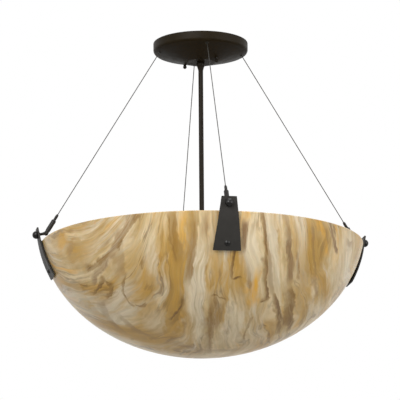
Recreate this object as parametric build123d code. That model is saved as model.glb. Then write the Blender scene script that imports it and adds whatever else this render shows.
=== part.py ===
from build123d import *
import os
from math import asin, atan, cos, degrees, radians, sin, sqrt, tan

# A pendant light: a large open bowl hung on four cables from a round ceiling canopy, with
# four lamps on a centre stem that hangs free inside the bowl.
# Millimetres. The origin is the centre of the canopy's top, on the ceiling, and +Z is up.
# The four brackets stand on +X (right), +Y (back), -X (left) and -Y (front).

STATIONS = {"right": 0, "back": 90, "left": 180, "front": 270}
KNOB_STATIONS = {"a": 135, "b": 315}
LAMP_STATIONS = {"1": 45, "2": 135, "3": 225, "4": 315}

# Bowl
bowl_radius = 457.2
bowl_depth = 317.0
bowl_wall = 5.0
bowl_shoulder = 62.0
rim_drop = 595.0
rim_round = 1.8

# Canopy
canopy_radius = 136.3
canopy_wall_height = 25.7
canopy_depth = 55.8
canopy_disc_radius = 40.0
canopy_sheet = 1.5
canopy_edge_round = 9.0
canopy_disc_round = 8.0

# Ceiling plate and its studs
ceiling_plate_radius = 66.0
ceiling_plate_thickness = 3.0
box_slot_spacing_long = 88.9
box_slot_spacing_short = 69.85
box_slot_width = 4.8
box_slot_length = 13.0
knob_circle = 56.6
stud_radius = 2.4
stud_hole_radius = 3.0
stud_nut_flats = 8.5
stud_nut_height = 3.5

# Canopy thumb knobs
knob_ball_radius = 5.35
knob_ball_drop = 8.8
knob_neck_radius = 3.4
knob_flange_radius = 4.6
knob_flange_height = 1.4

# Hang-straight swivel
swivel_drop = 62.0
swivel_outer_radius = 12.2
swivel_collar_radius = 10.0
swivel_ball_radius = 6.5
swivel_washer_wall = 1.35
swivel_neck_radius = 4.2
swivel_wire_radius = 2.8
swivel_mouth_angle = 49.0
swivel_washer_angle = 52.0
swivel_washer_top_radius = 4.4
swivel_cup_gap = 0.4
swivel_cup_radius = 9.6
swivel_length = 18.0
centre_tube_radius = 6.6
centre_tube_bore = 4.0
centre_nut_flats = 19.0
centre_nut_height = 4.5

# Stem
stem_radius = 6.85
stem_bore = 4.6
stem_spigot_length = 10.0
stem_tail = 9.0

# Lamp cluster
lamp_drop = 730.0
cluster_radius = 42.0
cluster_height = 52.0
cluster_wall = 2.5
cluster_cover_overhang = 1.5
cluster_cover_thickness = 3.0
boss_radius = 15.0
boss_reach = 50.0
lamp_tilt_angle = 12.0
holder_radius = 19.0
holder_length = 40.0
holder_bore = 13.8
holder_floor = 8.0
holder_lip = 2.0
holder_stub_radius = 5.0
holder_stub_length = 11.0
contact_radius = 4.0
contact_height = 2.0
bulb_cap_radius = 13.2
bulb_cap_length = 26.0
bulb_cap_tip_radius = 5.0
bulb_cap_tip_length = 3.0
bulb_neck_radius = 14.2
bulb_radius = 30.0
bulb_length = 106.0

# Bracket plates
plate_top_width = 41.0
plate_bottom_width = 76.0
plate_rise = 37.5
plate_fall = 100.0
plate_thickness = 4.0
plate_corner_round = 1.5
pad_thickness = 3.5
pad_width = 26.0
pad_margin = 8.0
eye_rise = 20.5
screw_fall = 81.5

# Bracket knobs and eye bolts
bracket_knob_radius = 11.1
bracket_knob_stand = 3.4
bolt_radius = 3.175
bolt_into_knob = 9.0
collar_radius = 7.0
collar_height = 3.0
shank_radius = 4.0
eye_reach = 17.5
eye_radius = 6.5
eye_thickness = 6.0
eye_neck = 9.0
pin_radius = 2.5
pin_head_radius = 4.0
pin_head_height = 1.2

# Bowl screws
screw_radius = 3.1
screw_head_radius = 8.0
screw_head_height = 4.2
screw_socket_flats = 5.0
screw_socket_depth = 2.0
screw_tail = 13.0
bowl_hole_radius = 4.5
washer_radius = 11.0
washer_height = 2.0
screw_nut_flats = 11.0
screw_nut_height = 5.5

# Cables and their ends
cable_radius = 1.2
cable_hole_inset = 15.7
cable_grip = 7.0
barrel_radius = 6.6
barrel_length = 43.5
barrel_slot_depth = 8.5
barrel_bore = 2.5
barrel_bore_depth = 10.0
barrel_end_round = 1.0
ferrule_radius = 4.0
ferrule_tip_radius = 2.8
ferrule_length = 20.0
ferrule_stud_length = 9.0
stop_radius = 5.0
stop_height = 7.5
bushing_radius = 5.0
bushing_head_radius = 8.0
bushing_head_rise = 1.0
bushing_proud = 0.6
bushing_way_radius = 2.2

# Clearances
move_gap = 0.3
run_gap = 0.05
seat_gap = 0.2
pivot_gap = 0.6
hole_gap = 0.1
press_gap = 0.02

# How far a cutting tool runs past the face that it leaves
cut_margin = 1.0

# Places worked out from the sizes above
rim_height = -rim_drop
profile_depth = bowl_depth + bowl_shoulder
profile_radius = bowl_radius / sqrt(1 - (bowl_shoulder / profile_depth) ** 2)
cable_hole_circle = canopy_radius - cable_hole_inset
cone_slope = (canopy_depth - canopy_wall_height) / (canopy_radius - canopy_disc_radius)
swivel_socket_radius = swivel_ball_radius + swivel_washer_wall + 2 * run_gap
full_reach = 2 * bowl_radius


def skin(height):
    """Radius and lean of the bowl's outer side at a height over the rim; straight above it."""
    level = (min(height, 0) - bowl_shoulder) / profile_depth
    radius = profile_radius * sqrt(1 - level**2)
    lean = atan(-profile_radius / profile_depth * level / sqrt(1 - level**2))
    return radius + max(height, 0) * tan(lean), lean


def skin_frame(height):
    """Frame on the bowl's outer side at +X: its Z axis points outward, its X axis round the rim."""
    radius, lean = skin(height)
    outward = (cos(lean), 0, -sin(lean))
    return Plane(origin=(radius, 0, rim_height + height), x_dir=(0, 1, 0), z_dir=outward).location


def canopy_skin(radius):
    """Height of the canopy's outer cone at a radius."""
    return -canopy_depth + (radius - canopy_disc_radius) * cone_slope


def rod(radius, low, high):
    """A round bar about Z between two heights."""
    return Pos(0, 0, (low + high) / 2) * Cylinder(radius, high - low)


def cross_rod(radius, length):
    """A round bar about X through the origin."""
    return Rot(0, 90, 0) * Cylinder(radius, length)


def ball(radius, height=0):
    """A sphere on the Z axis."""
    return Pos(0, 0, height) * Sphere(radius)


def hex_bar(flats, low, high):
    """A hexagonal bar about Z between two heights."""
    outline = RegularPolygon(flats / 2, 6, major_radius=False)
    return Pos(0, 0, low) * extrude(outline, high - low)


def turned(curve):
    """The solid made by turning a closed outline in the XZ plane about Z."""
    return revolve(make_face(Plane.XZ * curve), Axis.Z)


def turned_points(points):
    """The solid made by turning a polygon of (radius, height) points about Z."""
    return turned(Polyline(*points, close=True))


def around(shape, angle):
    """A shape turned about the vertical axis to its station."""
    return Rot(0, 0, angle) * shape


# Cable line at the +X station, from the ball stop in the canopy down to the eye
eye_radius_at, eye_lean = skin(eye_rise)
cable_low = Vector(
    eye_radius_at - eye_reach * cos(eye_lean), 0, rim_height + eye_rise + eye_reach * sin(eye_lean)
)
cable_hole = Vector(cable_hole_circle, 0, canopy_skin(cable_hole_circle))
cable_up = (cable_hole - cable_low).normalized()
cable_top = cable_hole + cable_up * stop_height
cable_span = (cable_top - cable_low).length
cable_frame = Plane(origin=cable_low, x_dir=(0, 1, 0), z_dir=cable_up).location


def bowl_profile(radius, depth, foot, top):
    """Arc of the bowl's profile, an ellipse whose widest level lies over the rim."""
    start = degrees(asin(foot / depth))
    size = degrees(asin(top / depth)) - start
    centre = (0, rim_height + bowl_shoulder)
    return EllipticalCenterArc(centre, radius, depth, start_angle=start, arc_size=size)


def make_bowl():
    """Open bowl with an even wall, a rounded rim and a hole for each bracket's screw."""
    outer = bowl_profile(profile_radius, profile_depth, -profile_depth, -bowl_shoulder)
    inside_depth = profile_depth - bowl_wall
    inner = bowl_profile(profile_radius - bowl_wall, inside_depth, -inside_depth, -bowl_shoulder)
    outline = make_face(
        Curve() + [outer, Line(outer @ 1, inner @ 1), inner, Line(inner @ 0, outer @ 0)]
    )
    outline = fillet(outline.vertices().group_by(Axis.Y)[-1], rim_round)
    shell = revolve(Plane.XZ * outline, Axis.Z)
    hole = skin_frame(-screw_fall) * rod(bowl_hole_radius, -3 * bowl_wall, 3 * bowl_wall)
    for angle in STATIONS.values():
        shell -= around(hole, angle)
    return shell


def strip(inner, outer, low, high, width):
    """A band along the bowl's side between two offsets and two heights, flat across."""
    foot = (low - bowl_shoulder) / profile_depth
    rim = -bowl_shoulder / profile_depth
    edges = []
    for offset in (inner, outer):
        depth = profile_depth + offset
        arc = bowl_profile(profile_radius + offset, depth, foot * depth, rim * depth)
        edges.append(arc)
        if high > 0:
            edges.append(Line(arc @ 1, arc @ 1 + Vector(high * tan(skin(0)[1]), high)))
    half = len(edges) // 2
    edges.append(Line(edges[half - 1] @ 1, edges[-1] @ 1))
    edges.append(Line(edges[0] @ 0, edges[half] @ 0))
    return extrude(make_face(Plane.XZ * (Curve() + edges)), width / 2, both=True)


def make_bracket_plate():
    """Curved trapezoid plate against the bowl's side, rising straight above its rim."""
    band = strip(pad_thickness, pad_thickness + plate_thickness, -plate_fall, plate_rise, full_reach / 4)
    slope = (plate_bottom_width - plate_top_width) / 2 / (plate_rise + plate_fall)
    spare = 3 * plate_thickness
    low_half = plate_bottom_width / 2 + slope * spare
    high_half = plate_top_width / 2 - slope * spare
    low = rim_height - plate_fall - spare
    high = rim_height + plate_rise + spare
    front = make_face(
        Plane.YZ
        * Polyline((-low_half, low), (low_half, low), (high_half, high), (-high_half, high), close=True)
    )
    plate = band & extrude(front, full_reach)
    corners = plate.edges().filter_by(lambda e: abs(e.length - plate_thickness) < plate_thickness / 10)
    plate = fillet(corners, plate_corner_round)
    through = rod(bolt_radius + 2 * hole_gap, -pad_thickness, 3 * plate_thickness)
    plate -= skin_frame(eye_rise) * through
    plate -= skin_frame(-screw_fall) * rod(screw_radius + 2 * hole_gap, -pad_thickness, 3 * plate_thickness)
    return plate


def make_bracket_pad(bowl):
    """Soft pad between a plate and the bowl, shaped to the bowl's side."""
    pad = strip(-bowl_wall / 2, pad_thickness, pad_margin - plate_fall, -pad_margin, pad_width)
    pad -= skin_frame(-screw_fall) * rod(bowl_hole_radius, -3 * bowl_wall, 3 * pad_thickness)
    pad -= bowl
    return pad.solids().sort_by(Axis.X)[-1]


def make_bowl_screw():
    """Button-headed screw with a hexagonal socket, from outside the plate into the bowl."""
    face = pad_thickness + plate_thickness
    crown = (screw_head_radius**2 + screw_head_height**2) / (2 * screw_head_height)
    head = ball(crown, face + screw_head_height - crown) & rod(screw_head_radius, face, face + crown)
    head -= hex_bar(screw_socket_flats, face + screw_head_height - screw_socket_depth, face + crown)
    return head + rod(screw_radius, -bowl_wall - screw_tail, face)


def make_bowl_washer():
    """Washer under the screw's nut, inside the bowl."""
    face = -bowl_wall - seat_gap
    washer = rod(washer_radius, face - washer_height, face)
    return washer - rod(screw_radius + run_gap, 2 * face - washer_height, 0)


def make_bowl_nut():
    """Nut of the bowl screw, on its washer."""
    face = -bowl_wall - seat_gap - washer_height
    nut = hex_bar(screw_nut_flats, face - screw_nut_height, face)
    return nut - rod(screw_radius, face - 2 * screw_nut_height, 0)


def make_eye_bolt():
    """Eye bolt: thread through the plate, collar, round shank and an eye inside the rim."""
    collar_low = pad_thickness - collar_height
    bolt = rod(bolt_radius, collar_low, pad_thickness + plate_thickness + bolt_into_knob)
    bolt += rod(collar_radius, collar_low, pad_thickness - hole_gap)
    bolt += rod(shank_radius, eye_neck - eye_reach, collar_low)
    bolt += Pos(0, 0, eye_neck / 2 - eye_reach) * Box(eye_thickness, 2 * shank_radius, eye_neck)
    eye = cross_rod(eye_radius, eye_thickness)
    bolt += Pos(0, 0, -eye_reach) * eye
    bolt -= Pos(0, 0, -eye_reach) * cross_rod(pin_radius + press_gap, 2 * eye_thickness)
    return bolt


def make_eye_pin():
    """Riveted pin through the eye, with a head outside each ear of the barrel."""
    inner = barrel_radius + move_gap
    pin = cross_rod(pin_radius, 2 * inner)
    head = cross_rod(pin_head_radius, pin_head_height)
    for side in (-1, 1):
        pin += Pos(side * (inner + pin_head_height / 2), 0, 0) * head
    return Pos(0, 0, -eye_reach) * pin


def make_bracket_knob():
    """Large ball knob, cut flat towards the plate, with a blind bore for the eye bolt."""
    face = pad_thickness + plate_thickness + move_gap
    centre = pad_thickness + plate_thickness + bracket_knob_stand
    knob = ball(bracket_knob_radius, centre) & rod(full_reach / 8, face, centre + 2 * bracket_knob_radius)
    bore_end = pad_thickness + plate_thickness + bolt_into_knob + move_gap
    return knob - rod(bolt_radius + run_gap, face - cut_margin, bore_end)


def make_cable_barrel():
    """Round coupling barrel that ends in two ears over the eye, along the cable's line."""
    body = rod(barrel_radius, 0, barrel_length)
    body += ball(barrel_radius)
    body = fillet(body.edges().group_by(Axis.Z)[-1], barrel_end_round)
    slot = eye_thickness + 2 * pivot_gap
    slot_length = barrel_slot_depth + 2 * barrel_radius
    body -= Pos(0, 0, barrel_slot_depth - slot_length / 2) * Box(slot, 3 * barrel_radius, slot_length)
    body -= cross_rod(pin_radius + pivot_gap, 3 * barrel_radius)
    body -= rod(barrel_bore, barrel_length - barrel_bore_depth, barrel_length + cut_margin)
    return body


def make_cable_ferrule():
    """Crimp sleeve on the cable's end, with a stud into the barrel."""
    top = barrel_length + ferrule_length
    shoulder = top - ferrule_length / 4
    sleeve = turned_points(
        [
            (0, barrel_length - ferrule_stud_length),
            (barrel_bore, barrel_length - ferrule_stud_length),
            (barrel_bore, barrel_length),
            (ferrule_radius, barrel_length),
            (ferrule_radius, shoulder),
            (ferrule_tip_radius, top),
            (0, top),
        ]
    )
    return sleeve - rod(cable_radius, top - cable_grip, top + cut_margin)


def make_cable():
    """Taut cable from inside its ferrule to inside its ball stop."""
    low = barrel_length + ferrule_length - cable_grip
    return rod(cable_radius, low, cable_span)


def make_cable_stop():
    """Ball stop crimped on the cable's upper end."""
    return ball(stop_radius, cable_span) - rod(cable_radius, cable_span - 2 * stop_radius, cable_span)


def canopy_fill(inset):
    """The canopy's outline filled, drawn in by a sheet's thickness."""
    side = canopy_radius - inset
    floor = inset - canopy_depth
    disc = canopy_disc_radius - inset * tan(atan(cone_slope) / 2)
    corner = floor + (side - disc) * cone_slope
    rounds = [canopy_disc_round, canopy_edge_round - inset]
    outline = FilletPolyline((0, floor), (disc, floor), (side, corner), (side, 0), radius=rounds)
    return turned(Curve() + [outline, Line((side, 0), (0, 0)), Line((0, 0), (0, floor))])


def make_canopy(cavity):
    """Spun canopy: straight wall, rounded edge, shallow cone and a flat centre."""
    canopy = canopy_fill(0) - cavity
    canopy -= rod(centre_tube_radius + hole_gap, -2 * canopy_depth, 0)
    for angle in KNOB_STATIONS.values():
        canopy -= around(Pos(knob_circle, 0, 0) * rod(stud_hole_radius, -2 * canopy_depth, 0), angle)
    way = cable_frame * rod(bushing_radius + hole_gap, cable_span / 2, cable_span)
    for angle in STATIONS.values():
        canopy -= around(way, angle)
    return canopy


def make_cable_bushing(cavity):
    """Bushing in a canopy hole, seated on the sheet, with a ball seat for the cable's stop."""
    face = cable_span - stop_height
    shank = cable_frame * rod(bushing_radius, face - bushing_proud, cable_span)
    head_top = cable_span + bushing_head_rise
    head = cable_frame * rod(bushing_head_radius, face - 2 * bushing_head_radius, head_top)
    bushing = shank + (head & cavity)
    bushing -= cable_frame * ball(stop_radius + run_gap, cable_span)
    bushing -= cable_frame * rod(stop_radius + run_gap, cable_span, cable_span + 2 * stop_radius)
    bushing -= cable_frame * rod(bushing_way_radius, face - 2 * bushing_radius, cable_span)
    return bushing


def make_ceiling_plate():
    """Round plate that screws to the outlet box, with two pairs of slots."""
    plate = rod(ceiling_plate_radius, -ceiling_plate_thickness, 0)
    plate -= rod(centre_tube_radius, -2 * ceiling_plate_thickness, cut_margin)
    slot = SlotOverall(box_slot_length, box_slot_width)
    slot = Pos(0, 0, -2 * ceiling_plate_thickness) * extrude(slot, 3 * ceiling_plate_thickness)
    for spacing, turn in ((box_slot_spacing_long, 0), (box_slot_spacing_short, 90)):
        for half_turn in (0, 180):
            plate -= around(Pos(spacing / 2, 0, 0) * slot, turn + half_turn)
    stud_hole = Pos(knob_circle, 0, 0) * rod(stud_radius, -2 * ceiling_plate_thickness, cut_margin)
    for angle in KNOB_STATIONS.values():
        plate -= around(stud_hole, angle)
    return plate


def make_plate_stud():
    """Threaded stud from the ceiling plate into a thumb knob."""
    end = canopy_skin(knob_circle) - knob_ball_drop
    return Pos(knob_circle, 0, 0) * rod(stud_radius, end, 0)


def make_stud_nut():
    """Locknut of a stud, under the ceiling plate."""
    low = -ceiling_plate_thickness - stud_nut_height
    nut = hex_bar(stud_nut_flats, low, -ceiling_plate_thickness) - rod(stud_radius, 2 * low, 0)
    return Pos(knob_circle, 0, 0) * nut


def make_centre_nut(high):
    """Locknut of the centre tube below a height."""
    low = high - centre_nut_height
    nut = hex_bar(centre_nut_flats, low, high)
    return nut - rod(centre_tube_radius, low - cut_margin, high + cut_margin)


def make_canopy_knob():
    """Thumb knob: a ball under a neck and a flange that bears on the canopy."""
    surface = canopy_skin(knob_circle)
    centre = surface - knob_ball_drop
    top = surface - knob_flange_radius * cone_slope - move_gap
    knob = ball(knob_ball_radius, centre) + rod(knob_neck_radius, centre, top)
    knob += rod(knob_flange_radius, top - knob_flange_height, top)
    knob -= rod(stud_radius + run_gap, centre - move_gap, top + cut_margin)
    return Pos(knob_circle, 0, 0) * knob


def make_swivel_housing():
    """Upper half of the swivel: threaded tube, collar and the upper half of the ball socket."""
    half = ball(swivel_outer_radius, -swivel_drop) & rod(swivel_outer_radius, -swivel_drop, -canopy_depth)
    housing = half + rod(swivel_collar_radius, -swivel_drop, -canopy_depth)
    housing += rod(centre_tube_radius, -swivel_drop, 0)
    housing -= ball(swivel_socket_radius, -swivel_drop)
    return housing - rod(centre_tube_bore, -swivel_drop, cut_margin)


def make_swivel_ring():
    """Screwed lower half of the ball socket, with a wide mouth for the neck."""
    ring = ball(swivel_outer_radius) - ball(swivel_socket_radius)
    ring &= rod(2 * swivel_outer_radius, -2 * swivel_outer_radius, 0)
    reach = 2 * swivel_outer_radius
    mouth = Pos(0, 0, -reach / 2) * Cone(reach * tan(radians(swivel_mouth_angle)), 0, reach)
    return Pos(0, 0, -swivel_drop) * (ring - mouth)


def make_swivel_washer():
    """Spherical washer between the socket and the ball."""
    inner = swivel_ball_radius + run_gap
    outer = inner + swivel_washer_wall
    reach = 2 * outer
    mouth = Pos(0, 0, -reach / 2) * Cone(reach * tan(radians(swivel_washer_angle)), 0, reach)
    washer = ball(outer) - ball(inner) - mouth - rod(swivel_washer_top_radius, 0, reach)
    return Pos(0, 0, -swivel_drop) * washer


def make_swivel_ball():
    """Ball, neck and the tapered coupling that the stem screws into."""
    cup = swivel_outer_radius + swivel_cup_gap
    shoulder = -sqrt(cup**2 - swivel_cup_radius**2)
    taper_length = swivel_length + shoulder
    taper = Cone(stem_radius, swivel_cup_radius, taper_length)
    coupling = Pos(0, 0, shoulder - taper_length / 2) * taper - ball(cup)
    coupling += ball(swivel_ball_radius) + rod(swivel_neck_radius, -cup - cut_margin, 0)
    coupling += rod(stem_bore - run_gap, -swivel_length - stem_spigot_length, -swivel_length)
    coupling -= rod(swivel_wire_radius, -2 * swivel_length, 2 * swivel_ball_radius)
    return Pos(0, 0, -swivel_drop) * coupling


cluster_low = -lamp_drop - cluster_height / 2
cluster_high = -lamp_drop + cluster_height / 2
stem_top = -swivel_drop - swivel_length


def make_stem():
    """Stem tube from the swivel's coupling through the lamp cluster."""
    tail = cluster_low - stem_tail
    return rod(stem_radius, tail, stem_top) - rod(stem_bore, tail - cut_margin, stem_top + cut_margin)


def lamp_frame(angle):
    """Frame on the stem's axis at the lamps' level, its Z axis out along one lamp."""
    tilt = radians(lamp_tilt_angle)
    outward = (cos(tilt), 0, sin(tilt))
    return Rot(0, 0, angle) * Plane(origin=(0, 0, -lamp_drop), x_dir=(0, 1, 0), z_dir=outward).location


def make_cluster_body():
    """Cup that carries the four lampholders on bosses, fixed on the stem's lower end."""
    body = rod(cluster_radius, cluster_low, cluster_high)
    for angle in LAMP_STATIONS.values():
        body += lamp_frame(angle) * rod(boss_radius, cluster_radius / 2, boss_reach)
    body -= rod(cluster_radius - cluster_wall, cluster_low + cluster_wall, cluster_high + cut_margin)
    for angle in LAMP_STATIONS.values():
        body -= lamp_frame(angle) * rod(holder_stub_radius, 0, boss_reach + cut_margin)
    return body - rod(stem_radius, cluster_low - cut_margin, cluster_high)


def make_cluster_cover():
    """Lid of the cluster's cup, round the stem."""
    radius = cluster_radius + cluster_cover_overhang
    high = cluster_high + cluster_cover_thickness
    return rod(radius, cluster_high, high) - rod(stem_radius, cluster_high - cut_margin, high + cut_margin)


def make_cluster_nut(low):
    """Locknut on the stem above a height."""
    nut = hex_bar(centre_nut_flats, low, low + centre_nut_height)
    return nut - rod(stem_radius, low - cut_margin, low + centre_nut_height + cut_margin)


def make_lampholder():
    """Lampholder with a screw-shell bore and the stub that fixes it in its boss."""
    mouth = boss_reach + holder_length
    holder = rod(holder_radius, boss_reach, mouth)
    holder = fillet(holder.edges().group_by(Axis.Z)[0], holder_lip)
    holder += rod(holder_stub_radius, boss_reach - holder_stub_length, boss_reach)
    return holder - rod(holder_bore, boss_reach + holder_floor, mouth + cut_margin)


def make_contact():
    """Centre contact on the lampholder's floor."""
    floor = boss_reach + holder_floor
    return rod(contact_radius, floor, floor + contact_height)


def make_bulb():
    """Bulb seated in its lampholder: centre tip, screw cap, neck and globe in one."""
    tip = boss_reach + holder_floor + contact_height + move_gap
    cap = tip + bulb_cap_tip_length
    neck = tip + bulb_cap_length
    centre = tip + bulb_length - bulb_radius
    globe = ball(bulb_radius, centre)
    flare = neck + (centre - neck) / 3
    shoulder = centre - bulb_radius / 3
    shoulder_radius = sqrt(bulb_radius**2 - (bulb_radius / 3) ** 2)
    neck_solid = turned_points(
        [
            (0, tip),
            (bulb_cap_tip_radius, tip),
            (bulb_cap_radius, cap),
            (bulb_cap_radius, neck),
            (bulb_neck_radius, flare),
            (shoulder_radius, shoulder),
            (0, centre),
        ]
    )
    return globe + neck_solid


def write(shape, name):
    """Writes one piece, or one group of like pieces, under its name."""
    export_step(shape, f"parts/{name}.step")


def write_group(shapes, name):
    """Writes separate like pieces together."""
    write(Compound(children=[solid for shape in shapes for solid in shape.solids()]), name)


def at_stations(shape):
    """Copies of a shape at the four brackets."""
    return [around(shape, angle) for angle in STATIONS.values()]


def write_ceiling_pieces(cavity):
    """The canopy and all that is fixed to the ceiling with it."""
    write(make_ceiling_plate(), "ceiling_plate")
    write(make_canopy(cavity), "canopy")
    write(make_swivel_housing(), "swivel_housing")
    write(make_swivel_ring(), "swivel_ring")
    stud = make_plate_stud()
    write_group([around(stud, angle) for angle in KNOB_STATIONS.values()], "plate_studs")
    nuts = [around(make_stud_nut(), angle) for angle in KNOB_STATIONS.values()]
    nuts.append(make_centre_nut(-ceiling_plate_thickness))
    nuts.append(make_centre_nut(canopy_sheet - canopy_depth + centre_nut_height))
    write_group(nuts, "locknuts")
    write_group(at_stations(make_cable_bushing(cavity)), "cable_bushings")
    for name, angle in KNOB_STATIONS.items():
        write(around(make_canopy_knob(), angle), f"canopy_knob_{name}")


def write_stem_pieces():
    """The stem, its swivel and the lamps."""
    write(make_swivel_washer(), "swivel_washer")
    write(make_swivel_ball(), "swivel_ball")
    write(make_stem(), "stem")
    write(make_cluster_body(), "cluster_body")
    write(make_cluster_cover(), "cluster_cover")
    lower = make_cluster_nut(cluster_low - centre_nut_height)
    upper = make_cluster_nut(cluster_high + cluster_cover_thickness)
    write_group([lower, upper], "cluster_nuts")
    write_group([lamp_frame(angle) * make_contact() for angle in LAMP_STATIONS.values()], "lamp_contacts")
    for name, angle in LAMP_STATIONS.items():
        write(lamp_frame(angle) * make_lampholder(), f"lampholder_{name}")
        write(lamp_frame(angle) * make_bulb(), f"bulb_{name}")


def write_bowl_pieces():
    """The bowl, its brackets and their fasteners."""
    bowl = make_bowl()
    write(bowl, "bowl")
    write_group(at_stations(make_bracket_pad(bowl)), "bracket_pads")
    low_frame = skin_frame(-screw_fall)
    write_group(at_stations(low_frame * make_bowl_screw()), "bowl_screws")
    write_group(at_stations(low_frame * make_bowl_washer()), "bowl_washers")
    write_group(at_stations(low_frame * make_bowl_nut()), "bowl_nuts")
    high_frame = skin_frame(eye_rise)
    write_group(at_stations(high_frame * make_eye_pin()), "eye_pins")
    pieces = {
        "bracket_plate": make_bracket_plate(),
        "eye_bolt": high_frame * make_eye_bolt(),
        "bracket_knob": high_frame * make_bracket_knob(),
    }
    for name, angle in STATIONS.items():
        for kind, piece in pieces.items():
            write(around(piece, angle), f"{kind}_{name}")


def write_cable_pieces():
    """The four cables and the fittings on their ends."""
    pieces = {
        "cable_barrel": make_cable_barrel(),
        "cable_ferrule": make_cable_ferrule(),
        "cable": make_cable(),
        "cable_stop": make_cable_stop(),
    }
    for name, angle in STATIONS.items():
        for kind, piece in pieces.items():
            write(around(cable_frame * piece, angle), f"{kind}_{name}")


os.makedirs("parts", exist_ok=True)
canopy_cavity = canopy_fill(canopy_sheet)
write_ceiling_pieces(canopy_cavity)
write_stem_pieces()
write_bowl_pieces()
write_cable_pieces()
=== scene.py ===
from math import cos, pi, radians, sin, sqrt, tau

import bmesh
import bpy
from mathutils import Matrix, Vector


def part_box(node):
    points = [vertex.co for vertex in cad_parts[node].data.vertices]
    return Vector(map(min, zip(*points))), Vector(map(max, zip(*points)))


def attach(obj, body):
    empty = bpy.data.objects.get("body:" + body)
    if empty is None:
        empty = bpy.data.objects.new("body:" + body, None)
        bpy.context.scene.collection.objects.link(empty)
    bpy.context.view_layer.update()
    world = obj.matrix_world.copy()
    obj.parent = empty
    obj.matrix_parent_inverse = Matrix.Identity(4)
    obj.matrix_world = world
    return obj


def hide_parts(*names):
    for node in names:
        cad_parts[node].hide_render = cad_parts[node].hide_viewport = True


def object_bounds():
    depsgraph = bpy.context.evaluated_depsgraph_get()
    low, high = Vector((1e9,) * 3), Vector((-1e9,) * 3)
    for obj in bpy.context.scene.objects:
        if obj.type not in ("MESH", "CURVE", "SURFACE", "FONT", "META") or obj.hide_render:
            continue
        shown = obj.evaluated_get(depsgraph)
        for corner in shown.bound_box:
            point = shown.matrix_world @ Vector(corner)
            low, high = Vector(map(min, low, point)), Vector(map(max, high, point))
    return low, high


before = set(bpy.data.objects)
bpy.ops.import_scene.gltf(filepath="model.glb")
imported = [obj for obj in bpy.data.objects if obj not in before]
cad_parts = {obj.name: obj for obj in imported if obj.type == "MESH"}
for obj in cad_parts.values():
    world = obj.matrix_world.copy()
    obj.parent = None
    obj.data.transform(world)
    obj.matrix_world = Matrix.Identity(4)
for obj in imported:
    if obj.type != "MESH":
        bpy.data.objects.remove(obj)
cad_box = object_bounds()

# A cable-hung bowl pendant. Metres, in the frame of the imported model: the origin is the centre
# of the canopy's top on the ceiling, +Z is up, and the photograph's near bracket is on -Y.

STATIONS = {"right": 0, "back": 90, "left": 180, "front": 270}
LAMPS = {"1": 45, "2": 135, "3": 225, "4": 315}

# Camera, worked out from the photograph with the lamp's real size
CAMERA_TURN = radians(8.95)
CAMERA_PITCH = radians(12.93)
CAMERA_ROLL = radians(-0.43)
CAMERA_DISTANCE = 7.203
CAMERA_ASIDE = -0.0048
CAMERA_HEIGHT = -2.116
CAMERA_LENS = 233.3
CAMERA_SENSOR = 36.0
CAMERA_REACH = 60.0

# Cables: both ends of the one at +X, as radius and height
CABLE_FOOT = (0.415179, -0.522548)
CABLE_HEAD = (0.116747, -0.024173)
CABLE_DIAMETER = 0.0024
CABLE_LENGTH = sqrt((CABLE_FOOT[0] - CABLE_HEAD[0]) ** 2 + (CABLE_FOOT[1] - CABLE_HEAD[1]) ** 2)

# Their rope: strands round it, and one turn of a strand as a number of diameters
ROPE_STRANDS = 7.0
ROPE_LAY = 7.0

# Lamps: where their axes cross, how far they tilt up, and the bulbs' sizes along them
LAMP_HEIGHT = -0.730
LAMP_TILT = radians(12.0)
BULB_TIP = 0.0603
BULB_LENGTH = 0.106
BULB_RADIUS = 0.0298
BULB_NECK = 0.0140
LATHE_STEPS = 64

# Glass: shares of the neck's radius, how deep it sits in the cap, and where its ball begins and ends
NECK_INSIDE = 0.86
NECK_OUTSIDE = 0.92
NECK_OVERLAP = 0.004
NECK_STEPS = 14
SHOULDER_ANGLE = -62
CROWN_ANGLE = 90
CROWN_STEPS = 40

# Screw cap: its tip as radius and rise, and its rolled thread
CAP_LENGTH = 0.026
CAP_RADIUS = 0.0130
CAP_TIP = ((0, 0), (0.0022, 0), (0.0042, 0.0009), (0.0048, 0.0016), (0.0085, 0.0026), (0.0116, 0.0040))
CAP_MOUTH = 0.0118
CAP_STEPS = 120
THREAD_START = 0.0045
THREAD_END = 0.0060
THREAD_PITCH = 0.00362
THREAD_DEPTH = 0.0012
CAP_RIM = 0.0007

# Room and light
FLOOR_HEIGHT = -4.2
FLOOR_SIZE = 30.0
FLOOR_GLOW = 0.45
AMBIENT = 0.41
LIGHT_SIZE = 2.4
LIGHTS = {
    "key": ((-2.2, -3.4, 1.0), 142),
    "fill": ((3.0, -2.6, 0.0), 72),
    "top": ((0.3, 0.6, 2.2), 45),
}

# Wear of the bronze coat: its colour, and the width of the band that it reaches from an edge
WORN_BRONZE = (0.060, 0.048, 0.036)
EDGE_WEAR = 0.0006


def link(tree, value, socket):
    """Joins a socket to another one, or sets its value."""
    if isinstance(value, bpy.types.NodeSocket):
        tree.links.new(value, socket)
    elif value is not None:
        socket.default_value = value


def add(tree, kind, *values, out=0, **settings):
    """A node with its settings and inputs, given as one of its outputs."""
    node = tree.nodes.new("ShaderNode" + kind)
    for name, setting in settings.items():
        setattr(node, name, setting)
    for value, socket in zip(values, node.inputs):
        link(tree, value, socket)
    return node.outputs[out]


def maths(tree, operation, *values):
    """A Math node."""
    return add(tree, "Math", *values, operation=operation)


def times(tree, first, second):
    """The product of two numbers."""
    return maths(tree, "MULTIPLY", first, second)


def vector(tree, operation, *values):
    """A Vector Math node that gives a vector."""
    return add(tree, "VectorMath", *values, operation=operation)


def scaled(tree, source, factor):
    """A vector times a factor on each axis."""
    return vector(tree, "MULTIPLY", source, factor)


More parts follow.
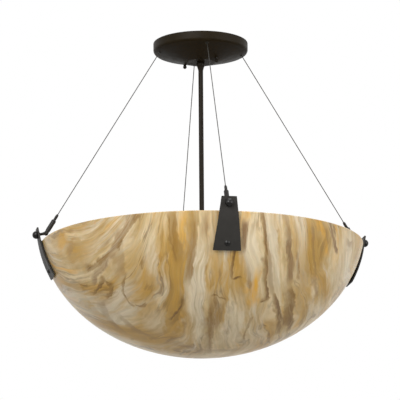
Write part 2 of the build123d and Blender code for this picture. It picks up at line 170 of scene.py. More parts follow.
def noise(tree, source, scale, detail=2.0, roughness=0.5):
    """Noise from 0 to 1."""
    node = tree.nodes.new("ShaderNodeTexNoise")
    values = {"Vector": source, "Scale": scale, "Detail": detail, "Roughness": roughness}
    for name, value in values.items():
        link(tree, value, node.inputs[name])
    return node.outputs["Fac"]


def spread(tree, value, low, high, to_low=0.0, to_high=1.0, smooth=True):
    """A value's range stretched onto another range, with soft ends."""
    node = tree.nodes.new("ShaderNodeMapRange")
    node.interpolation_type = "SMOOTHSTEP" if smooth else "LINEAR"
    for name, number in {"From Min": low, "From Max": high, "To Min": to_low, "To Max": to_high}.items():
        node.inputs[name].default_value = number
    link(tree, value, node.inputs["Value"])
    return node.outputs["Result"]


def blend(tree, share, first, second, way="MIX"):
    """Two colours mixed by a share."""
    node = tree.nodes.new("ShaderNodeMix")
    node.data_type = "RGBA"
    node.blend_type = way
    link(tree, share, node.inputs["Factor"])
    for value, socket in ((first, node.inputs[6]), (second, node.inputs[7])):
        link(tree, (*value, 1.0) if isinstance(value, tuple) else value, socket)
    return node.outputs[2]


def bump(tree, height, distance, strength=1.0):
    """A Bump node's normal."""
    node = tree.nodes.new("ShaderNodeBump")
    node.inputs["Strength"].default_value = strength
    node.inputs["Distance"].default_value = distance
    link(tree, height, node.inputs["Height"])
    return node.outputs["Normal"]


def place(tree, name="Object"):
    """Texture coordinates."""
    return tree.nodes.new("ShaderNodeTexCoord").outputs[name]


def material(name, **sockets):
    """A material with a Principled shader whose even values are set on its own sockets."""
    made = bpy.data.materials.new(name)
    made.use_nodes = True
    shader = made.node_tree.nodes["Principled BSDF"]
    for socket, value in sockets.items():
        shader.inputs[socket.replace("_", " ")].default_value = value
    return made, made.node_tree, shader


def dress(tree, shader, **sockets):
    """Links sockets of a shader."""
    for socket, value in sockets.items():
        link(tree, value, shader.inputs[socket.replace("_", " ")])


def worn_edges(tree, radius):
    """A mask that is 1 on sharp edges and 0 on faces."""
    node = tree.nodes.new("ShaderNodeBevel")
    node.samples = 6
    node.inputs["Radius"].default_value = radius
    normal = tree.nodes.new("ShaderNodeNewGeometry").outputs["Normal"]
    likeness = add(tree, "VectorMath", node.outputs["Normal"], normal, out=1, operation="DOT_PRODUCT")
    return spread(tree, likeness, 0.985, 0.80)


def bronze(name, roughness, base, gloss, mottle=0.15, wear=0.3, peel=0.00004):
    """Dark bronze coat: soft mottling, orange peel and edges rubbed a little lighter."""
    made, tree, shader = material(name, Specular_IOR_Level=gloss)
    where = place(tree)
    cloud = noise(tree, where, 42.0, 4.0, 0.6)
    speck = noise(tree, where, 900.0, 2.0, 0.6)
    dark = tuple((1 - mottle) * c for c in base)
    light = tuple((1 + mottle) * c for c in base)
    coat = blend(tree, spread(tree, cloud, 0.32, 0.68), dark, light)
    coat = blend(tree, spread(tree, speck, 0.60, 0.76, 0.0, mottle), coat, WORN_BRONZE)
    patches = spread(tree, noise(tree, where, 160.0, 3.0), 0.35, 0.65, 0.3, 1.0)
    rub = times(tree, worn_edges(tree, EDGE_WEAR), patches)
    coat = blend(tree, times(tree, rub, wear), coat, WORN_BRONZE)
    rough = spread(tree, cloud, 0.25, 0.75, roughness - 0.06, roughness + 0.07)
    rough = maths(tree, "ADD", rough, times(tree, speck, 0.04))
    skin = noise(tree, where, 1500.0, 3.0, 0.5)
    dress(tree, shader, Base_Color=coat, Roughness=rough, Normal=bump(tree, skin, peel, 0.8))
    return made


def plated_steel(name):
    """Zinc plate: faint spangle, fine scratches and a warm film in places."""
    made, tree, shader = material(name, Metallic=1.0)
    where = place(tree)
    cells = tree.nodes.new("ShaderNodeTexVoronoi")
    link(tree, where, cells.inputs["Vector"])
    cells.inputs["Scale"].default_value = 260.0
    tone = add(tree, "SeparateColor", cells.outputs["Color"])
    film = noise(tree, where, 35.0, 3.0)
    steel = blend(tree, spread(tree, tone, 0.0, 1.0, smooth=False), (0.50, 0.51, 0.51), (0.66, 0.66, 0.64))
    steel = blend(tree, spread(tree, film, 0.5, 0.75, 0.0, 0.4), steel, (0.55, 0.50, 0.38))
    scratch = noise(tree, scaled(tree, where, (2200.0, 160.0, 160.0)), 1.0, 2.0)
    rough = spread(tree, maths(tree, "ADD", tone, film), 0.4, 1.6, 0.26, 0.46, smooth=False)
    dress(tree, shader, Base_Color=steel, Roughness=rough, Normal=bump(tree, scratch, 0.00002, 0.7))
    return made


def wire_rope(name):
    """Dark steel rope: seven strands laid in a helix along the cord, with painted shade in the gaps between
    them.
    """
    made, tree, shader = material(name, Metallic=0.2, Specular_IOR_Level=0.25)
    split = tree.nodes.new("ShaderNodeSeparateXYZ")
    link(tree, place(tree, "UV"), split.inputs[0])
    turns = CABLE_LENGTH / (ROPE_LAY * CABLE_DIAMETER)
    phase = maths(tree, "ADD", times(tree, split.outputs["X"], turns), split.outputs["Y"])
    strands = maths(tree, "ABSOLUTE", maths(tree, "SINE", times(tree, phase, pi * ROPE_STRANDS)))
    grime = noise(tree, place(tree), 120.0, 3.0)
    # Painted shade: the colour darkens where the lay mask is low, in the gaps between strands.
    steel = blend(tree, spread(tree, strands, 0.1, 0.6), (0.008, 0.0075, 0.006), (0.048, 0.045, 0.038))
    steel = blend(tree, spread(tree, grime, 0.45, 0.7, 0.0, 0.6), steel, (0.020, 0.018, 0.014))
    rough = spread(tree, grime, 0.3, 0.7, 0.34, 0.5)
    dress(tree, shader, Base_Color=steel, Roughness=rough, Normal=bump(tree, strands, 0.00025, 0.9))
    return made


def porcelain(name):
    """Glazed porcelain: warm white, faint specks and a slightly wavy glaze."""
    made, tree, shader = material(name, Coat_Weight=0.6, Coat_Roughness=0.06, Subsurface_Weight=0.05)
    where = place(tree)
    tint = noise(tree, where, 55.0, 3.0)
    glaze = blend(tree, spread(tree, tint, 0.35, 0.65), (0.74, 0.71, 0.63), (0.82, 0.80, 0.74))
    speck = noise(tree, where, 620.0, 1.0)
    glaze = blend(tree, spread(tree, speck, 0.74, 0.80, 0.0, 0.5), glaze, (0.40, 0.34, 0.25))
    wave = noise(tree, where, 90.0, 2.0)
    rough = spread(tree, tint, 0.3, 0.7, 0.14, 0.24)
    dress(tree, shader, Base_Color=glaze, Roughness=rough, Normal=bump(tree, wave, 0.0003, 0.35))
    return made


def brass(name):
    """Brass that has dulled unevenly."""
    made, tree, shader = material(name, Metallic=1.0)
    where = place(tree)
    dull = noise(tree, where, 85.0, 4.0, 0.6)
    metal = blend(tree, spread(tree, dull, 0.35, 0.7), (0.72, 0.52, 0.22), (0.46, 0.31, 0.12))
    scratch = noise(tree, scaled(tree, where, (300.0, 300.0, 2400.0)), 1.0, 2.0)
    rough = spread(tree, dull, 0.3, 0.7, 0.2, 0.42)
    dress(tree, shader, Base_Color=metal, Roughness=rough, Normal=bump(tree, scratch, 0.00002, 0.6))
    return made


def soft_plastic(name, dark, light, roughness):
    """Moulded nylon or rubber: slight mottling and a fine matt grain."""
    made, tree, shader = material(name)
    where = place(tree)
    cloud = noise(tree, where, 75.0, 3.0)
    grain = noise(tree, where, 1900.0, 2.0)
    coat = blend(tree, spread(tree, cloud, 0.35, 0.65), dark, light)
    rough = spread(tree, grain, 0.3, 0.7, roughness - 0.07, roughness + 0.07)
    dress(tree, shader, Base_Color=coat, Roughness=rough, Normal=bump(tree, grain, 0.00004, 0.7))
    return made


def frosted_glass(name):
    """Frosted white bulb: even white coat, a little uneven inside, with a soft sheen."""
    made, tree, shader = material(name, Transmission_Weight=0.25, IOR=1.46, Subsurface_Weight=0.2)
    shader.inputs["Subsurface Radius"].default_value = (0.01, 0.009, 0.008)
    where = place(tree)
    cloud = noise(tree, where, 30.0, 3.0)
    coat = blend(tree, spread(tree, cloud, 0.3, 0.7), (0.86, 0.85, 0.81), (0.93, 0.92, 0.89))
    rough = spread(tree, cloud, 0.3, 0.7, 0.3, 0.42)
    frost = noise(tree, where, 700.0, 2.0)
    dress(tree, shader, Base_Color=coat, Roughness=rough, Normal=bump(tree, frost, 0.00003, 0.5))
    return made


# The bowl's marbling is that of a flat sheet pressed into the bowl. Places are in metres on the
# flat sheet: across the photograph from left to right, then towards its near side. A streak is
# a start, an end, how far its middle bows aside, its half width and its strength.
RIM_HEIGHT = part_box("bowl")[1].z
SHEET_CENTRE_RISE = 0.10
SHEET_SCALE = 0.43
CREAM = (0.51, 0.355, 0.150)
LIGHT_CREAM = (0.74, 0.59, 0.36)
PALE = (0.69, 0.585, 0.41)
AMBER = (0.47, 0.262, 0.042)
GOLD = (0.66, 0.350, 0.045)
UMBER = (0.27, 0.145, 0.030)
TAUPE = (0.26, 0.155, 0.070)
BROWN = (0.120, 0.056, 0.016)
STREAKS = {
    PALE: [
        ((0.005, 0.53), (-0.015, 0.18), 0.004, 0.030, 0.85),
        ((0.168, 0.54), (0.150, 0.41), 0.0, 0.026, 0.70),
        ((0.237, 0.54), (0.222, 0.30), 0.004, 0.022, 0.80),
        ((0.105, 0.34), (0.085, 0.10), 0.0, 0.040, 0.70),
        ((0.165, 0.25), (0.160, 0.04), 0.0, 0.036, 0.60),
        ((0.505, 0.27), (0.440, 0.06), 0.010, 0.045, 0.70),
        ((-0.165, 0.52), (-0.135, 0.36), 0.0, 0.022, 0.60),
        ((-0.320, 0.44), (-0.400, 0.24), 0.0, 0.030, 0.60),
        ((-0.400, 0.20), (-0.330, 0.10), 0.0, 0.040, 0.50),
        ((-0.120, 0.30), (-0.130, 0.16), 0.0, 0.026, 0.50),
    ],
    AMBER: [
        ((-0.505, 0.26), (-0.350, 0.39), 0.010, 0.035, 0.75),
        ((-0.215, 0.48), (-0.150, 0.24), 0.0, 0.050, 0.60),
        ((-0.062, 0.50), (-0.082, 0.22), -0.006, 0.020, 0.85),
        ((-0.370, 0.17), (-0.090, 0.10), 0.030, 0.036, 0.70),
        ((0.054, 0.49), (0.036, 0.34), 0.0, 0.019, 0.90),
        ((0.088, 0.48), (0.054, 0.23), 0.004, 0.012, 0.75),
        ((0.345, 0.44), (0.320, 0.12), 0.012, 0.034, 0.55),
        ((0.346, 0.20), (0.336, 0.14), 0.0, 0.010, 0.70),
    ],
    GOLD: [
        ((-0.060, 0.59), (-0.056, 0.47), 0.004, 0.017, 0.80),
        ((0.172, 0.40), (0.144, 0.28), 0.006, 0.014, 0.90),
        ((0.120, 0.36), (0.160, 0.33), 0.0, 0.010, 0.60),
        ((0.407, 0.42), (0.399, 0.29), -0.004, 0.007, 0.85),
        ((-0.455, 0.33), (-0.470, 0.24), 0.0, 0.014, 0.50),
    ],
    UMBER: [
        ((-0.096, 0.59), (-0.068, 0.43), 0.004, 0.016, 0.85),
        ((-0.022, 0.59), (-0.046, 0.38), -0.006, 0.014, 0.75),
        ((0.034, 0.345), (0.018, 0.03), 0.004, 0.014, 0.85),
        ((0.064, 0.33), (0.040, 0.20), 0.004, 0.008, 0.60),
        ((-0.057, 0.36), (-0.088, 0.22), -0.006, 0.009, 0.60),
        ((0.262, 0.30), (0.250, 0.10), 0.005, 0.014, 0.75),
    ],
    TAUPE: [
        ((-0.214, 0.55), (-0.330, 0.25), 0.012, 0.010, 0.85),
        ((-0.262, 0.46), (-0.245, 0.33), 0.0, 0.016, 0.50),
        ((0.008, 0.58), (0.014, 0.51), 0.0, 0.015, 0.60),
        ((0.150, 0.55), (0.132, 0.46), 0.004, 0.007, 0.90),
        ((0.287, 0.54), (0.263, 0.31), -0.006, 0.013, 0.75),
        ((0.212, 0.50), (0.205, 0.30), 0.0, 0.011, 0.55),
        ((0.372, 0.43), (0.345, 0.18), 0.006, 0.006, 0.60),
        ((0.447, 0.39), (0.442, 0.26), 0.003, 0.006, 0.90),
        ((0.492, 0.26), (0.520, 0.19), 0.004, 0.010, 0.60),
        ((-0.105, 0.14), (0.120, 0.05), 0.020, 0.018, 0.45),
        ((-0.300, 0.22), (-0.220, 0.09), 0.020, 0.016, 0.55),
        ((-0.420, 0.33), (-0.440, 0.27), 0.0, 0.012, 0.50),
        ((-0.245, 0.20), (-0.130, 0.13), 0.010, 0.012, 0.50),
    ],
    BROWN: [
        ((-0.212, 0.54), (-0.268, 0.42), 0.003, 0.004, 0.70),
        ((-0.290, 0.40), (-0.360, 0.28), -0.006, 0.009, 0.80),
        ((-0.296, 0.31), (-0.334, 0.21), -0.006, 0.005, 0.70),
        ((-0.300, 0.30), (-0.262, 0.31), 0.006, 0.005, 0.65),
        ((-0.266, 0.31), (-0.290, 0.24), -0.008, 0.006, 0.70),
        ((-0.385, 0.21), (-0.355, 0.24), 0.008, 0.005, 0.60),
        ((-0.231, 0.37), (-0.233, 0.29), 0.003, 0.006, 0.70),
        ((-0.234, 0.30), (-0.198, 0.26), 0.006, 0.006, 0.70),
        ((-0.200, 0.265), (-0.168, 0.29), 0.004, 0.003, 0.65),
        ((-0.112, 0.57), (-0.078, 0.44), 0.004, 0.004, 0.55),
        ((-0.057, 0.35), (-0.096, 0.24), -0.006, 0.005, 0.75),
        ((0.028, 0.30), (0.020, 0.07), 0.004, 0.005, 0.60),
        ((0.026, 0.350), (0.068, 0.338), 0.0, 0.003, 0.75),
        ((0.107, 0.49), (0.085, 0.395), 0.003, 0.006, 0.85),
        ((0.086, 0.40), (0.118, 0.394), -0.004, 0.004, 0.85),
        ((0.206, 0.56), (0.200, 0.43), -0.004, 0.008, 0.75),
        ((0.201, 0.45), (0.187, 0.28), 0.005, 0.007, 0.85),
        ((0.162, 0.293), (0.196, 0.291), 0.0, 0.004, 0.80),
        ((0.211, 0.31), (0.221, 0.08), -0.006, 0.010, 0.75),
        ((0.268, 0.30), (0.256, 0.06), 0.005, 0.010, 0.70),
        ((0.300, 0.40), (0.292, 0.30), 0.0, 0.006, 0.50),
        ((0.146, 0.24), (0.120, 0.12), 0.006, 0.004, 0.60),
    ],
}


def sheet_place(tree):
    """Where a point of the bowl lies on the flat sheet: across, and towards the near side."""
    split = tree.nodes.new("ShaderNodeSeparateXYZ")
    link(tree, place(tree), split.inputs[0])
    x, y, z = (split.outputs[i] for i in range(3))
    radius = maths(tree, "SQRT", maths(tree, "ADD", times(tree, x, x), times(tree, y, y)))
    drop = maths(tree, "SUBTRACT", RIM_HEIGHT + SHEET_CENTRE_RISE, z)
    polar = maths(tree, "ARCTAN2", radius, drop)
    reach = maths(tree, "MAXIMUM", radius, 0.0001)
    stretch = maths(tree, "DIVIDE", times(tree, polar, SHEET_SCALE), reach)
    c, s = cos(CAMERA_TURN), sin(CAMERA_TURN)
    across = maths(tree, "SUBTRACT", times(tree, x, c), times(tree, y, s))
    depth = maths(tree, "ADD", times(tree, x, s), times(tree, y, c))
    near = times(tree, depth, -1.0)
    return times(tree, across, stretch), times(tree, near, stretch)


def streak(tree, where, swell, start, end, bow, half_width, strength):
    """Mask of one streak: sharper on one side, softer on the other, and faded at its ends."""
    run = Vector((*end, 0)) - Vector((*start, 0))
    side = Vector((run.y, -run.x, 0)).normalized()
    offset = vector(tree, "SUBTRACT", where, (*start, 0.0))
    along = add(tree, "VectorMath", offset, tuple(run / run.length_squared), out=1, operation="DOT_PRODUCT")
    aside = add(tree, "VectorMath", offset, tuple(side), out=1, operation="DOT_PRODUCT")
    if bow:
        arch = times(tree, along, maths(tree, "SUBTRACT", 1.0, along))
        aside = maths(tree, "SUBTRACT", aside, times(tree, arch, 4 * bow))
    aside = times(tree, aside, swell)
    flank = spread(tree, aside, -half_width, -0.4 * half_width)
    tail = spread(tree, aside, 2.4 * half_width, 0.3 * half_width)
    fade = min(0.45, 3.0 * half_width / run.length)
    fade_in = spread(tree, along, -0.5 * fade, fade)
    fade_out = spread(tree, along, 1.0 + 0.5 * fade, 1.0 - fade)
    ends = times(tree, times(tree, fade_in, fade_out), strength)
    return times(tree, times(tree, flank, tail), ends)


def warped(tree, source, scale, reach, detail=2.0):
    """A place pushed about by a noise of its own: how fine it is, and how far it pushes."""
    node = tree.nodes.new("ShaderNodeTexNoise")
    node.inputs["Scale"].default_value = 1.0
    node.inputs["Detail"].default_value = detail
    link(tree, scaled(tree, source, (*scale, 1.0)), node.inputs["Vector"])
    push = vector(tree, "SUBTRACT", node.outputs["Color"], (0.5, 0.5, 0.5))
    return vector(tree, "ADD", source, scaled(tree, push, (*reach, 0.0)))


def grain(tree, source, scale, shift, detail=4.0, roughness=0.6):
    """Noise drawn out along the sheet, shifted so that no two layers are alike."""
    moved = vector(tree, "ADD", scaled(tree, source, (*scale, 1.0)), (shift, 2.0 * shift, 0.0))
    return noise(tree, moved, 1.0, detail, roughness)


def ridge(tree, value, width):
    """Thin lines where a noise passes its middle value."""
    return spread(tree, maths(tree, "ABSOLUTE", maths(tree, "SUBTRACT", value, 0.5)), width, 0.0)


def marble(name):
    """Marbled shade: cream ground, amber and brown streaks drawn out along the sheet."""
    gloss = {"Coat_Weight": 0.12, "Coat_Roughness": 0.22, "Specular_IOR_Level": 0.35}
    glow = {"Subsurface_Weight": 0.05, "Subsurface_Scale": 0.006}
    made, tree, shader = material(name, **gloss, **glow)
    across, near = sheet_place(tree)

    # The sheet's own flow: it leans over on the left, and is stirred at three scales
    lean = spread(tree, across, -0.40, -0.02, 0.75, 0.06)
    slope = times(tree, maths(tree, "SUBTRACT", near, 0.30), lean)
    straight = maths(tree, "SUBTRACT", across, slope)
    flow = add(tree, "CombineXYZ", straight, near, 0.0)
    flow = warped(tree, flow, (3.2, 2.2), (0.20, 0.05))
    flow = warped(tree, flow, (13.0, 6.0), (0.062, 0.12), 3.0)
    flow = warped(tree, flow, (45.0, 16.0), (0.012, 0.035), 3.0)

    cloud = grain(tree, flow, (14.0, 5.0), 7.0, 5.0)
    broad = grain(tree, flow, (9.0, 1.8), 0.0)
    band = grain(tree, flow, (24.0, 3.0), 4.0)
    milk = grain(tree, flow, (17.0, 2.6), 9.0, 5.0)
    vein = grain(tree, flow, (12.0, 2.0), 1.0, 5.0, 0.62)
    hair = grain(tree, flow, (46.0, 3.6), 3.0, 4.0, 0.62)
    strand = grain(tree, flow, (120.0, 7.0), 5.0, 3.0)
    gate = grain(tree, flow, (6.0, 4.0), 2.0, 2.0)

    # Random ground, from pale cream to brown lines
    coat = blend(tree, spread(tree, cloud, 0.36, 0.66), CREAM, LIGHT_CREAM)
    coat = blend(tree, spread(tree, broad, 0.44, 0.62, 0.0, 0.90), coat, AMBER)
    coat = blend(tree, spread(tree, milk, 0.50, 0.66, 0.0, 0.90), coat, PALE)
    coat = blend(tree, spread(tree, band, 0.56, 0.72, 0.0, 0.65), coat, GOLD)
    haze = times(tree, spread(tree, vein, 0.54, 0.76), spread(tree, gate, 0.32, 0.6, 0.2, 1.0))
    coat = blend(tree, times(tree, haze, 0.65), coat, TAUPE)
    line = times(tree, ridge(tree, vein, 0.030), spread(tree, gate, 0.44, 0.62))
    coat = blend(tree, times(tree, line, 0.60), coat, BROWN)
    line = times(tree, spread(tree, hair, 0.54, 0.74), spread(tree, cloud, 0.36, 0.60, 0.8, 0.2))
    coat = blend(tree, line, coat, UMBER)

    # Streaks placed on the near half. The far half has them turned round.
    centred = add(tree, "CombineXYZ", across, near, 0.0)
    facing = maths(tree, "SIGN", near)
    halved = vector(tree, "MULTIPLY", centred, add(tree, "CombineXYZ", facing, facing, 0.0))
    where = warped(tree, halved, (7.0, 5.0), (0.020, 0.04))
    where = warped(tree, where, (26.0, 15.0), (0.020, 0.03), 3.0)
    where = warped(tree, where, (85.0, 45.0), (0.010, 0.012), 2.0)
    swell = spread(tree, grain(tree, where, (16.0, 9.0), 6.0, 3.0), 0.30, 0.70, 0.55, 1.9)
    broken = spread(tree, maths(tree, "ADD", band, strand), 0.70, 1.25, 0.35, 1.2)
    for tone, streaks in STREAKS.items():
        mask = streak(tree, where, swell, *streaks[0])
        for values in streaks[1:]:
            mask = maths(tree, "MAXIMUM", mask, streak(tree, where, swell, *values))
        share = add(tree, "Math", mask, broken, operation="MULTIPLY", use_clamp=True)
        if tone is BROWN:
            coat = blend(tree, spread(tree, share, 0.0, 0.5, 0.0, 0.65), coat, UMBER)
            share = spread(tree, share, 0.38, 1.0, 0.0, 0.75)
        coat = blend(tree, share, coat, tone)

    # Fine lines in the colour, and a slightly wavy surface
    lines = spread(tree, strand, 0.28, 0.74, 0.83, 1.13, smooth=False)
    coat = blend(tree, 1.0, coat, add(tree, "CombineColor", lines, lines, lines), "MULTIPLY")
    ripple = noise(tree, place(tree), 14.0, 2.0)
    fine = noise(tree, place(tree), 260.0, 2.0)
    rough = spread(tree, maths(tree, "ADD", cloud, strand), 0.6, 1.4, 0.32, 0.44, smooth=False)
    height = maths(tree, "ADD", ripple, times(tree, fine, 0.03))
    dress(tree, shader, Base_Color=coat, Roughness=rough, Normal=bump(tree, height, 0.0012, 0.6))
    return made


def around(point, turn):
    """A point of the +X station turned to another station."""
    x, y, z = point
    a = radians(turn)
    return Vector((x * cos(a) - y * sin(a), x * sin(a) + y * cos(a), z))


def cable_curve(name, points):
    """A taut cable: one open spline through its two ends and its middle."""
    curve = bpy.data.curves.new(name, "CURVE")
    curve.dimensions = "3D"
    curve.bevel_depth = CABLE_DIAMETER / 2
    curve.bevel_resolution = 6
    curve.use_fill_caps = True
    spline = curve.splines.new("NURBS")
    spline.points.add(len(points) - 1)
    for target, point in zip(spline.points, points):
        target.co = (*point, 1.0)
    spline.order_u = 3
    spline.use_endpoint_u = True
    made = bpy.data.objects.new(name, curve)
    bpy.context.scene.collection.objects.link(made)
    return made


def make_cables(finish):
    """The four cables, each on its own body."""
    foot = Vector((CABLE_FOOT[0], 0, CABLE_FOOT[1]))
    head = Vector((CABLE_HEAD[0], 0, CABLE_HEAD[1]))
    for name, turn in STATIONS.items():
        points = [around(point, turn) for point in (foot, foot.lerp(head, 0.5), head)]
        cable = cable_curve(f"wire_rope_{name}", points)
        cable.data.materials.append(finish)
        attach(cable, f"cable_{name}")
        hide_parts(f"cable_{name}")


def turned_mesh(name, outline, steps, twist=None):
    """A closed mesh turned about Z from (radius, height) points; twist gives a rise by angle."""
    mesh = bmesh.new()
    rings = []
    for radius, height in outline:
        if radius == 0:
            rings.append([mesh.verts.new((0, 0, height))])
            continue
        ring = []
        for step in range(steps):
            a = tau * step / steps
            r = radius + (twist(a, height) if twist else 0.0)
            ring.append(mesh.verts.new((r * cos(a), r * sin(a), height)))
        rings.append(ring)
    for low, high in zip(rings, rings[1:]):
        for step in range(steps):
            after = (step + 1) % steps
            corners = [low[step % len(low)], low[after % len(low)]]
            corners += [high[after % len(high)], high[step % len(high)]]
            kept = [c for i, c in enumerate(corners) if c not in corners[:i]]
            if len(kept) > 2:
                mesh.faces.new(kept)
    bmesh.ops.recalc_face_normals(mesh, faces=mesh.faces)
    data = bpy.data.meshes.new(name)
    mesh.to_mesh(data)
    mesh.free()
    data.polygons.foreach_set("use_smooth", [True] * len(data.polygons))
    made = bpy.data.objects.new(name, data)
    bpy.context.scene.collection.objects.link(made)
    return made


def lamp_matrix(turn):
    """Frame of a lamp, its Z axis out along the lamp."""
    outward = Vector((cos(LAMP_TILT), 0, sin(LAMP_TILT)))
    side = Vector((0, 1, 0))
    third = outward.cross(side)
    axes = Matrix((side, third, outward)).transposed().to_4x4()
    if axes.determinant() < 0:
        axes = Matrix((-side, third, outward)).transposed().to_4x4()
    return Matrix.Rotation(radians(turn), 4, "Z") @ Matrix.Translation((0, 0, LAMP_HEIGHT)) @ axes


def glass_outline():
    """Half outline of the bulb's glass, from inside its cap to the crown."""
    neck = BULB_TIP + CAP_LENGTH
    centre = BULB_TIP + BULB_LENGTH - BULB_RADIUS
    throat = BULB_NECK * NECK_OUTSIDE
    shoulder = radians(SHOULDER_ANGLE)
    wide, high = BULB_RADIUS * cos(shoulder), centre + BULB_RADIUS * sin(shoulder)
    points = [(0, neck - NECK_OVERLAP), (BULB_NECK * NECK_INSIDE, neck - NECK_OVERLAP), (throat, neck)]
    for i in range(1, NECK_STEPS):
        share = i / NECK_STEPS
        ease = share * share * (3 - 2 * share)
        points.append((throat + (wide - throat) * ease, neck + (high - neck) * share))
    for i in range(CROWN_STEPS):
        angle = radians(SHOULDER_ANGLE + (CROWN_ANGLE - SHOULDER_ANGLE) * i / CROWN_STEPS)
        points.append((BULB_RADIUS * cos(angle), centre + BULB_RADIUS * sin(angle)))
    points.append((0, centre + BULB_RADIUS))
    return points


def cap_outline():
    """Half outline of the screw cap, with its solder tip and insulator."""
    points = [(radius, BULB_TIP + rise) for radius, rise in CAP_TIP]
    core = CAP_RADIUS - THREAD_DEPTH
    rise = CAP_LENGTH - THREAD_START - CAP_RIM
    for i in range(CAP_STEPS + 1):
        points.append((core, BULB_TIP + THREAD_START + rise * i / CAP_STEPS))
    points.append((CAP_MOUTH, BULB_TIP + CAP_LENGTH))
    points.append((0, BULB_TIP + CAP_LENGTH))
    return points


def thread(angle, height):
    """Height of a bulb cap's rolled thread over its core."""
    low, high = BULB_TIP + THREAD_START, BULB_TIP + CAP_LENGTH - THREAD_END
    if not low <= height <= high:
        return 0.0
    fade = min(1.0, (height - low) / THREAD_PITCH, (high - height) / THREAD_PITCH)
    return THREAD_DEPTH / 2 * (1 + sin(tau * height / THREAD_PITCH - angle)) * fade


def make_bulbs(glass, metal):
    """Four bulbs: frosted glass and a threaded screw cap each."""
    for name, turn in LAMPS.items():
        bulb = turned_mesh(f"bulb_glass_{name}", glass_outline(), LATHE_STEPS)
        cap = turned_mesh(f"bulb_cap_{name}", cap_outline(), LATHE_STEPS, thread)
        for piece, finish, slot in ((bulb, glass, "bulb_glass"), (cap, metal, "brass")):
            piece.data.transform(lamp_matrix(turn))
            piece.data.materials.append(finish)
            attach(piece, f"bulb_{name}")
            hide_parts(f"bulb_{name}")


def finish_nodes():
    """A material for each kept CAD node, and the pieces that stand for the others."""
    satin = bronze("satin_bronze", 0.50, (0.030, 0.028, 0.025), 0.15, mottle=0.06)
    spun = bronze("spun_bronze", 0.46, (0.0130, 0.0086, 0.0030), 0.09)
    smooth = bronze("smooth_bronze", 0.30, (0.0055, 0.0050, 0.0042), 0.30, wear=0.2, peel=0.00002)
    pipe = bronze("pipe_bronze", 0.42, (0.014, 0.0105, 0.0065), 0.08)
    fitting = bronze("fitting_bronze", 0.40, (0.013, 0.011, 0.009), 0.22)
    blackened = bronze("blackened_steel", 0.50, (0.030, 0.028, 0.025), 0.25)
    steel = plated_steel("zinc_plate")
    brassy = brass("dull_brass")
    white = porcelain("glazed_porcelain")
    nylon = soft_plastic("nylon", (0.62, 0.60, 0.54), (0.70, 0.69, 0.64), 0.5)
    rubber = soft_plastic("rubber", (0.010, 0.010, 0.010), (0.020, 0.019, 0.018), 0.75)
    shade = marble("marbled_sheet")
    rope = wire_rope("wire_rope")
    glass = frosted_glass("frosted_glass")
    by_start = {
        "bowl_nuts": steel, "bowl_washers": rubber, "bowl_screws": smooth, "bowl": shade,
        "bracket_pads": rubber, "bracket_plate": satin, "bracket_knob": smooth, "eye": fitting,
        "canopy_knob": pipe, "canopy": spun, "ceiling_plate": steel, "plate_studs": blackened,
        "locknuts": steel, "cable_bushings": blackened, "cable_barrel": fitting, "cable_ferrule": fitting,
        "cable_stop": blackened, "swivel_washer": nylon, "swivel": pipe, "stem": pipe,
        "cluster_nuts": steel, "cluster": satin, "lamp_contacts": brassy, "lampholder": white,
    }
    for node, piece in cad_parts.items():
        start = next((s for s in by_start if node.startswith(s)), None)
        if start is None:
            continue
        piece.data.materials.clear()
        piece.data.materials.append(by_start[start])
    make_cables(rope)
    make_bulbs(glass, brassy)


def soft_light(name, spot, target, watts):
    """A large square lamp aimed at a point."""
    data = bpy.data.lights.new(name, "AREA")
    data.shape = "SQUARE"
    data.size = LIGHT_SIZE
    data.energy = watts
    made = bpy.data.objects.new(name, data)
    made.location = spot
    made.rotation_euler = (Vector(target) - Vector(spot)).to_track_quat("-Z", "Y").to_euler()
    bpy.context.scene.collection.objects.link(made)


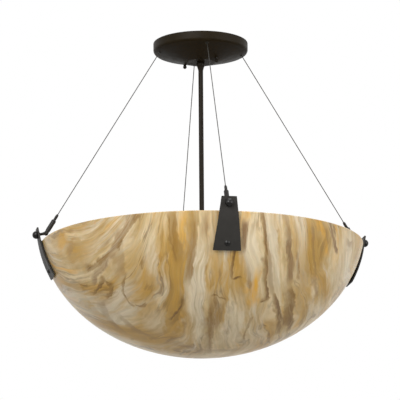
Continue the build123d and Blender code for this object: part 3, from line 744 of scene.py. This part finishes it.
def make_floor():
    """Plain pale floor, made a little paler for the camera alone."""
    half = FLOOR_SIZE / 2
    data = bpy.data.meshes.new("floor")
    corners = [(x * half, y * half, FLOOR_HEIGHT) for x, y in ((-1, -1), (1, -1), (1, 1), (-1, 1))]
    data.from_pydata(corners, [], [(0, 1, 2, 3)])
    made = bpy.data.objects.new("floor", data)
    bpy.context.scene.collection.objects.link(made)
    paint, tree, shader = material("floor_paint", Roughness=0.8)
    tone = noise(tree, place(tree), 1.5, 2.0)
    shader.inputs["Emission Color"].default_value = (1, 1, 1, 1)
    seen = tree.nodes.new("ShaderNodeLightPath").outputs["Is Camera Ray"]
    pale = blend(tree, tone, (0.80, 0.80, 0.79), (0.84, 0.84, 0.83))
    dress(tree, shader, Base_Color=pale, Emission_Strength=times(tree, seen, FLOOR_GLOW))
    data.materials.append(paint)


def make_world():
    """White where the camera, gloss or glass looks, and a plain grey as a light."""
    world = bpy.data.worlds.new("room")
    bpy.context.scene.world = world
    world.use_nodes = True
    tree = world.node_tree
    shader = tree.nodes["Background"]
    rays = tree.nodes.new("ShaderNodeLightPath").outputs
    seen = maths(tree, "MAXIMUM", rays["Is Camera Ray"], rays["Is Glossy Ray"])
    seen = maths(tree, "MAXIMUM", seen, rays["Is Transmission Ray"])
    shader.inputs["Color"].default_value = (1, 1, 1, 1)
    strength = maths(tree, "ADD", times(tree, seen, 1.0 - AMBIENT), AMBIENT)
    link(tree, strength, shader.inputs["Strength"])


def make_camera():
    """The camera at the photograph's place."""
    data = bpy.data.cameras.new("camera")
    data.sensor_width = CAMERA_SENSOR
    data.lens = CAMERA_LENS
    data.clip_end = CAMERA_REACH
    made = bpy.data.objects.new("camera", data)
    turn = Matrix.Rotation(-CAMERA_TURN, 4, "Z")
    made.matrix_world = (
        turn
        @ Matrix.Translation((CAMERA_ASIDE, -CAMERA_DISTANCE, CAMERA_HEIGHT))
        @ Matrix.Rotation(pi / 2 + CAMERA_PITCH, 4, "X")
        @ Matrix.Rotation(CAMERA_ROLL, 4, "Z")
    )
    bpy.context.scene.collection.objects.link(made)
    bpy.context.scene.camera = made


finish_nodes()
make_floor()
make_world()
middle = (cad_box[0] + cad_box[1]) / 2
for light, (spot, watts) in LIGHTS.items():
    soft_light(light, spot, middle, watts)
make_camera()
bpy.context.scene.view_settings.view_transform = "Standard"
